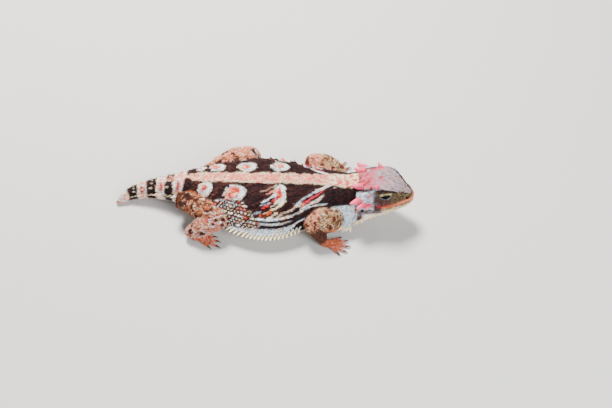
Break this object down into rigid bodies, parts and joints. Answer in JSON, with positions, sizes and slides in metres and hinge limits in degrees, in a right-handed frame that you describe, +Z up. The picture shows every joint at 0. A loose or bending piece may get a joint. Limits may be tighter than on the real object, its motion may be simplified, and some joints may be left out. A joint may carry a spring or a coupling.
{
  "type": "horned lizard",
  "caption": "Life-size horned lizard resting on its belly with folded legs, a still display model with spiny hide and pink horns.",
  "frame": {"origin": "bottom centre of the bounding box, on the floor that the belly, feet and tail tip rest on", "axes": "+X towards the snout, +Y to the animal's left, +Z up"},
  "size_m": [0.1188, 0.0552, 0.0227],
  "materials": {
    "back_hide": "dry granular scales, dark chocolate with a pink stripe and pale blotches",
    "tail_hide": "keeled scales in dark and pale bands",
    "neck_hide": "small scales, dark patches over pale blue-grey folds",
    "head_hide": "rough bony scales, blue-grey with pink patches and a brown face mask",
    "jaw_hide": "smooth pale scales, yellowish in front and blue-grey behind",
    "leg_hide": "overlapping keeled scales, pinkish brown with dark dots",
    "horn": "pink horn with a faint grain",
    "eye": "wet, almost black"
  },
  "bodies": {
    "root": {"torso": "back_hide", "tail": "tail_hide", "neck": "neck_hide", "head": "head_hide", "jaw": "jaw_hide", "eye_left": "eye", "horn_occipital_left": "horn", "horn_temporal_upper_left": "horn", "horn_temporal_middle_left": "horn", "horn_temporal_lower_left": "horn", "horn_postorbital_left": "horn", "upper_arm_left": "leg_hide", "forearm_left": "leg_hide", "hand_left": "leg_hide", "thigh_left": "leg_hide", "shank_left": "leg_hide", "foot_left": "leg_hide", "eye_right": "eye", "horn_occipital_right": "horn", "horn_temporal_upper_right": "horn", "horn_temporal_middle_right": "horn", "horn_temporal_lower_right": "horn", "horn_postorbital_right": "horn", "upper_arm_right": "leg_hide", "forearm_right": "leg_hide", "hand_right": "leg_hide", "thigh_right": "leg_hide", "shank_right": "leg_hide", "foot_right": "leg_hide"}
  },
  "joints": []
}
